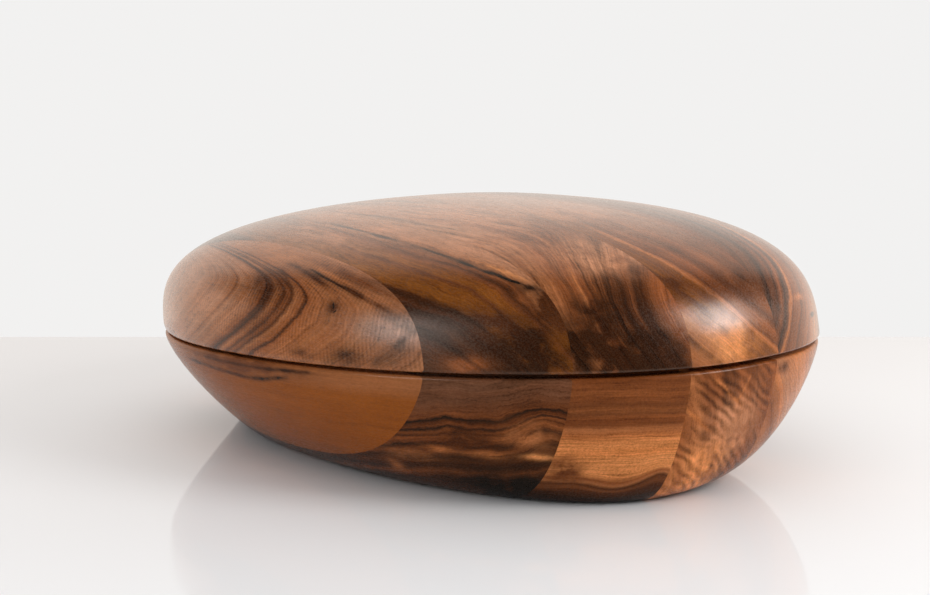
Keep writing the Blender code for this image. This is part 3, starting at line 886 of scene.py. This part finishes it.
class StudioLook(PropertyGroup):
    """Table, backdrop, lamps and camera. Turns are from the camera's own direction, to the right."""
    backdrop: tone("Backdrop", (0.887, 0.880, 0.873), "Pale wall behind the table")
    mirrored_wall: tone("Mirrored wall", (0.870, 0.785, 0.715), "The wall as the wood mirrors it")
    table: tone("Table", (0.910, 0.906, 0.903), "White table top")
    room_dark: tone("Dim room", (0.020, 0.020, 0.020), "What the wood mirrors over and behind the camera")
    sky_near: tone("Near light", (0.47, 0.47, 0.48), "Soft light from behind the camera and below")
    sky_far: tone("Far light", (0.93, 0.93, 0.94), "Soft light from above and from the backdrop")
    table_reach: metres("Table reach", 1.097, "Distance from the camera to the far edge of the table")
    right_turn: radians("Right lamp turn", math.radians(114.0), "Direction of the right soft lamp")
    right_lift: radians("Right lamp lift", math.radians(29.0), "Height of the right soft lamp")
    right_size: lamp_size("Right lamp size", (0.46, 0.50), "Breadth and height of the right soft lamp")
    right_glow: glow("Right lamp light", 9.0, "Radiance with which the right lamp lights")
    right_shine: glow("Right lamp shine", 36.0, "Radiance with which the right lamp is mirrored")
    left_turn: radians("Left lamp turn", math.radians(-134.0), "Direction of the left soft lamp")
    left_lift: radians("Left lamp lift", math.radians(20.0), "Height of the left soft lamp")
    left_size: lamp_size("Left lamp size", (0.40, 0.56), "Breadth and height of the left soft lamp")
    left_glow: glow("Left lamp light", 1.2, "Radiance with which the left lamp lights")
    left_shine: glow("Left lamp shine", 15.0, "Radiance with which the left lamp is mirrored")
    shine_tint: tone("Shine tint", (0.76, 0.87, 1.00), "Colour of both lamps as they are mirrored")
    rim_shine: glow("Side shine", 0.45, "How much brighter the wood mirrors the backdrop's two sides")
    lamp_distance: metres("Lamp distance", 1.25, "Distance of both lamps from the bowl")
    camera_lens: lens("Lens", CAMERA_LENS, "Focal length of the camera")


# ---------------------------------------------------------------- studio

WHITE = (1.0, 1.0, 1.0)

# What the gloss mirrors. The wall fills the directions whose cosine with the camera's own, and a
# margin, is past an edge. Its lifted part is drawn in, and more so to both sides, where it is brighter
WALL_MARGIN = 0.22
WALL_EDGE = (0.12, 0.46)
DRAWN_LIFT = (0.28, 0.50)
DRAWN_IN, DRAWN_IN_SIDES = 0.22, 0.75
BRIGHT_SIDES = (0.42, 0.70)

# Soft light: shares of the way from the camera and of the way up, and the range they light
SOFT_FAR, SOFT_UP = 0.5, 0.9
SOFT_RANGE = (-0.2, 0.9)

# Table top: how far it goes back behind the camera and out to each side, and its gloss
TABLE_BACK = 3.0
TABLE_HALF_BREADTH = 4.0
TABLE_ROUGHNESS = 0.045
TABLE_IOR = 1.38


def away_from_camera(turn, lift=0.0):
    """Unit direction that is turned right from the camera's own plan direction, and lifted."""
    angle = CAMERA_TURN - turn
    return np.array((-math.sin(angle) * math.cos(lift), math.cos(angle) * math.cos(lift), math.sin(lift)))


def make_lamp(look, side, name, radiance, colour, mirrored):
    """A soft rectangular lamp that faces the bowl. It either lights, or is mirrored in the gloss."""
    turn, lift = getattr(look, f"{side}_turn"), getattr(look, f"{side}_lift")
    lamp = bpy.data.lights.new(name, "AREA")
    lamp.shape = "RECTANGLE"
    lamp.size, lamp.size_y = getattr(look, f"{side}_size")
    lamp.energy = radiance * math.pi * lamp.size * lamp.size_y
    lamp.color = colour
    light = new_object(name, lamp)
    light.location = away_from_camera(turn, lift) * look.lamp_distance + (0.0, 0.0, HEIGHT / 2)
    light.rotation_euler = (math.pi / 2 - lift, 0.0, CAMERA_TURN - turn + math.pi)
    light.visible_camera = False
    light.visible_diffuse = not mirrored
    light.visible_glossy = mirrored


def make_lamps(look):
    """Two soft lamps, each with the shine that the gloss mirrors."""
    for side in ("right", "left"):
        make_lamp(look, side, f"{side}_lamp", getattr(look, f"{side}_glow"), WHITE, False)
        make_lamp(look, side, f"{side}_shine", getattr(look, f"{side}_shine"), look.shine_tint, True)


def make_world(look):
    """Pale backdrop behind the table, and the light and mirror images that come from around it.

    The soft light grows smoothly from near the camera to above and behind the bowl. The gloss
    mirrors the wall, which grows brighter to both sides, and a dim room over it and elsewhere.
    """
    world = bpy.data.worlds.new("studio")
    world.use_nodes = True
    tree = world.node_tree
    direction = wire(tree, "ShaderNodeTexCoord", "Generated")
    far = direction.dot(tuple(away_from_camera(0.0)))
    _, _, lift = parts_of(direction)
    sideways = abs(direction.dot(tuple(away_from_camera(math.pi / 2))))
    drawn_in = sideways * sideways * DRAWN_IN_SIDES + DRAWN_IN
    lit = spread(far + WALL_MARGIN - spread(lift, *DRAWN_LIFT) * drawn_in, *WALL_EDGE)
    bright_side = tuple(part * (1.0 + look.rim_shine) for part in look.mirrored_wall)
    wall = blend(spread(sideways, *BRIGHT_SIDES), look.mirrored_wall, bright_side)
    mirrored = blend(lit, look.room_dark, wall)
    soft_light = blend(spread(far * SOFT_FAR + lift * SOFT_UP, *SOFT_RANGE), look.sky_near, look.sky_far)
    paths = wires(tree.nodes.new("ShaderNodeLightPath"))
    room = blend(paths["Is Glossy Ray"], soft_light, mirrored)
    seen = paths["Is Camera Ray"].calc("MAXIMUM", paths["Is Transmission Ray"])
    feed(tree.nodes["Background"], Color=blend(seen, room, look.backdrop), Strength=1.0)
    bpy.context.scene.world = world


def make_table(look):
    """White table top: a flat sheet that ends behind the bowl and reaches wide to both sides."""
    middle = np.array(CAMERA_PLACE[:2])
    far = away_from_camera(0.0)[:2]
    side = away_from_camera(math.pi / 2)[:2] * TABLE_HALF_BREADTH
    near_edge = middle - far * TABLE_BACK
    far_edge = middle + far * look.table_reach
    corners = (near_edge - side, near_edge + side, far_edge + side, far_edge - side)
    mesh = bpy.data.meshes.new("table")
    mesh.from_pydata([(*corner, 0.0) for corner in corners], [], [(0, 1, 2, 3)])
    material, shader = new_material("white_table")
    feed(shader, Base_Color=(*look.table, 1.0), Roughness=TABLE_ROUGHNESS, IOR=TABLE_IOR)
    mesh.materials.append(material)
    new_object("table", mesh)


def make_camera(look):
    """Camera at the photograph's viewing angle."""
    camera = new_object("camera", bpy.data.cameras.new("camera"))
    camera.data.lens = look.camera_lens
    camera.data.sensor_width = SENSOR_WIDTH
    camera.location = CAMERA_PLACE
    camera.rotation_euler = (math.pi / 2 - CAMERA_DIP, 0.0, CAMERA_TURN)
    bpy.context.scene.camera = camera


# ---------------------------------------------------------------- operators and panel

def make_half(scene, half, carve, boards):
    """All boards of one half, cut from its carved form."""
    sizes, tones = scene.bowl_sizes, scene.walnut_tones
    groups = {key: bpy.data.node_groups.get(name) or make(name) for key, (name, make) in GROUPS.items()}
    form = carve(sizes)
    gloss, oil = getattr(tones, f"{half}_gloss"), getattr(tones, f"{half}_oil")
    for number, board in enumerate(boards, start=1):
        wood = board_wood(f"{half}_board_{number}_walnut", board, groups, tones, gloss, oil)
        make_board(half, number, form, sizes, wood)


class LIDDEDBOWL_OT_bowl_boards(Operator):
    """Carve the bowl and cut it into its seven walnut boards"""
    bl_idname = "lidded_bowl.bowl_boards"
    bl_label = "Bowl Boards"

    def execute(self, context):
        make_half(context.scene, "bowl", bowl_form, BOWL_BOARDS)
        return {"FINISHED"}


class LIDDEDBOWL_OT_lid_boards(Operator):
    """Carve the lid and cut it into its seven walnut boards"""
    bl_idname = "lidded_bowl.lid_boards"
    bl_label = "Lid Boards"

    def execute(self, context):
        make_half(context.scene, "lid", lid_form, LID_BOARDS)
        return {"FINISHED"}


class LIDDEDBOWL_OT_stage(Operator):
    """Set up the table, backdrop, soft lamps and camera"""
    bl_idname = "lidded_bowl.stage"
    bl_label = "Stage"

    def execute(self, context):
        look = context.scene.studio_look
        make_camera(look)
        make_lamps(look)
        make_world(look)
        make_table(look)
        context.scene.view_settings.view_transform = "Standard"
        return {"FINISHED"}


class LIDDEDBOWL_PT_panel(Panel):
    """Sizes, tones, studio and the steps that make the bowl"""
    bl_idname = "LIDDEDBOWL_PT_panel"
    bl_label = "Lidded Bowl"
    bl_space_type = "VIEW_3D"
    bl_region_type = "UI"
    bl_category = "Lidded Bowl"

    def draw(self, context):
        scene = context.scene
        for title, group in (("Sizes", scene.bowl_sizes), ("Walnut", scene.walnut_tones),
                             ("Studio", scene.studio_look)):
            box = self.layout.box()
            box.label(text=title)
            for name in group.bl_rna.properties.keys():
                if name not in ("rna_type", "name"):
                    box.prop(group, name)
        for step in STEPS:
            self.layout.operator(step.bl_idname)


STEPS = (LIDDEDBOWL_OT_bowl_boards, LIDDEDBOWL_OT_lid_boards, LIDDEDBOWL_OT_stage)
CLASSES = (BowlSizes, WalnutTones, StudioLook, *STEPS, LIDDEDBOWL_PT_panel)


def register():
    for entry in CLASSES:
        bpy.utils.register_class(entry)
    bpy.types.Scene.bowl_sizes = PointerProperty(type=BowlSizes)
    bpy.types.Scene.walnut_tones = PointerProperty(type=WalnutTones)
    bpy.types.Scene.studio_look = PointerProperty(type=StudioLook)


def unregister():
    del bpy.types.Scene.studio_look
    del bpy.types.Scene.walnut_tones
    del bpy.types.Scene.bowl_sizes
    for entry in reversed(CLASSES):
        bpy.utils.unregister_class(entry)


def main():
    register()
    bpy.ops.lidded_bowl.bowl_boards()
    bpy.ops.lidded_bowl.lid_boards()
    bpy.ops.lidded_bowl.stage()


if __name__ == "__main__":
    main()
